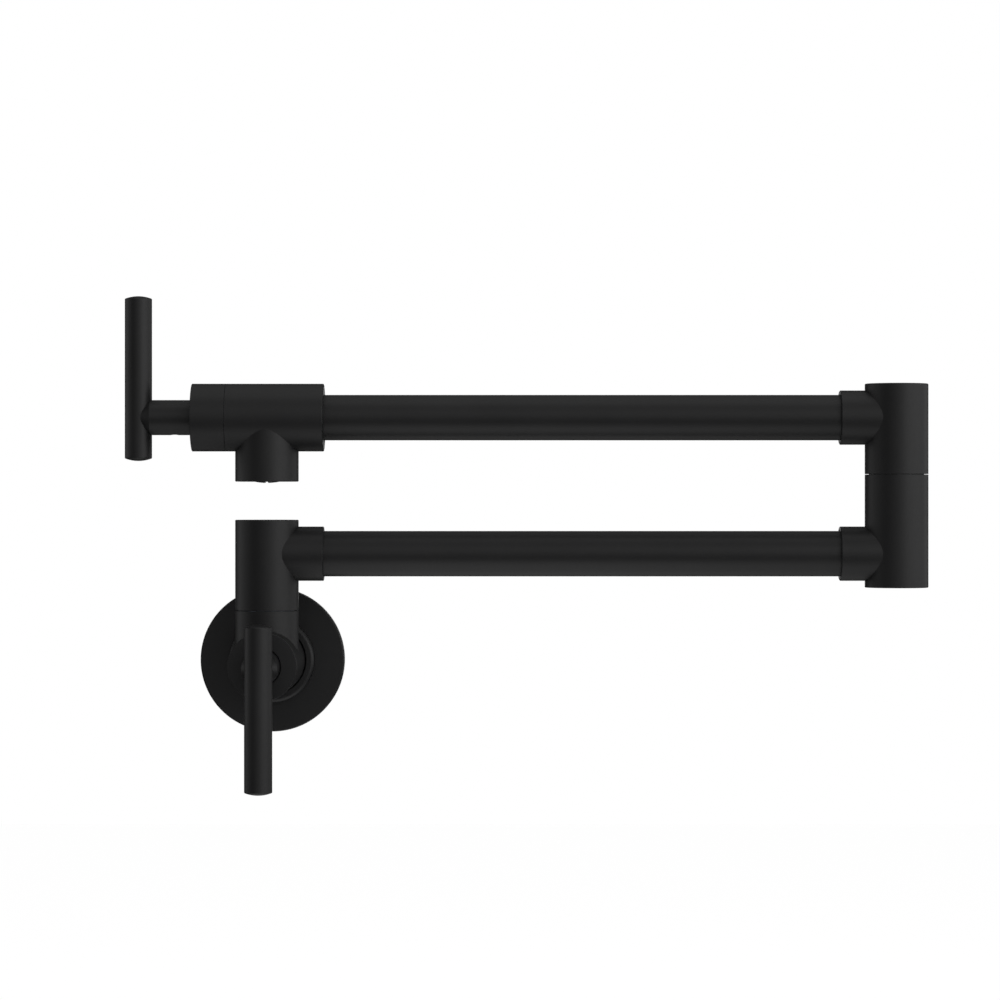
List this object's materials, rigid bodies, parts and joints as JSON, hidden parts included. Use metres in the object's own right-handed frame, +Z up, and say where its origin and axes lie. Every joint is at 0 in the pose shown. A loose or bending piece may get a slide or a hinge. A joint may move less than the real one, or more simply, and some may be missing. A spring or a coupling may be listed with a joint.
{
  "type": "wall mounted pot filler",
  "caption": "Wall mounted pot filler: round flange, lever valve, folding swivel arms of round tube, and a lever valve with a downward nozzle.",
  "frame": {"origin": "centre of the inlet bore, in the plane of the wall", "axes": "+X to the right along the folded arms as seen from the room, +Y into the wall, +Z up"},
  "size_m": [0.3891, 0.1168, 0.2367],
  "materials": {
    "matt_black": "satin",
    "bare_brass": "satin",
    "black_rubber": "matte",
    "white_ceramic": "satin",
    "black_steel": "satin",
    "bright_steel": "satin",
    "washer_plastic": "satin",
    "aerator_plastic": "satin"
  },
  "bodies": {
    "wall_body": {"flange": "matt_black", "flange_gasket": "black_rubber", "flange_collar": "matt_black", "collar_o_ring": "black_rubber", "wall_valve_body": "matt_black", "wall_bonnet": "matt_black", "wall_cartridge_housing": "bare_brass", "wall_fixed_disc": "white_ceramic", "wall_seat_seal": "black_rubber", "wall_housing_o_ring": "black_rubber", "wall_post": "bare_brass", "wall_post_o_rings": "black_rubber", "wall_thrust_washer": "washer_plastic"},
    "wall_lever": {"wall_lever_neck": "matt_black", "wall_lever_bar": "matt_black", "wall_lever_screw": "black_steel", "wall_spindle": "bare_brass", "wall_moving_disc": "white_ceramic", "wall_spindle_o_ring": "black_rubber", "wall_spindle_clip": "bright_steel"},
    "lower_arm": {"wall_hub": "matt_black", "wall_hub_screw": "black_steel", "lower_tube": "matt_black", "lower_tube_seals": "black_rubber", "elbow_lower_hub": "matt_black", "elbow_post": "bare_brass", "elbow_post_o_rings": "black_rubber", "elbow_thrust_washer": "washer_plastic"},
    "upper_arm": {"elbow_upper_hub": "matt_black", "elbow_hub_screw": "black_steel", "upper_tube": "matt_black", "upper_tube_seals": "black_rubber", "spout_valve_body": "matt_black", "spout_bonnet": "matt_black", "spout_cartridge_housing": "bare_brass", "spout_fixed_disc": "white_ceramic", "spout_seat_seal": "black_rubber", "spout_housing_o_ring": "black_rubber", "aerator_housing": "matt_black", "aerator_insert": "aerator_plastic", "aerator_washer": "black_rubber"},
    "spout_lever": {"spout_lever_neck": "matt_black", "spout_lever_bar": "matt_black", "spout_lever_screw": "black_steel", "spout_spindle": "bare_brass", "spout_moving_disc": "white_ceramic", "spout_spindle_o_ring": "black_rubber", "spout_spindle_clip": "bright_steel"}
  },
  "joints": [
    {"name": "wall_swing", "type": "hinge", "parent": "wall_body", "child": "lower_arm", "pos_m": [0, -0.048, 0.0532], "axis": [0, 0, 1], "range_deg": [-180, 0]},
    {"name": "elbow_swing", "type": "hinge", "parent": "lower_arm", "child": "upper_arm", "pos_m": [0.305, -0.048, 0.1191], "axis": [0, 0, 1], "continuous": true},
    {"name": "wall_lever_turn", "type": "hinge", "parent": "wall_body", "child": "wall_lever", "pos_m": [0, -0.11026, 0], "axis": [0, -1, 0], "range_deg": [0, 90]},
    {"name": "spout_lever_turn", "type": "hinge", "parent": "upper_arm", "child": "spout_lever", "pos_m": [-0.06226, -0.048, 0.1191], "axis": [1, 0, 0], "range_deg": [0, 90]}
  ]
}
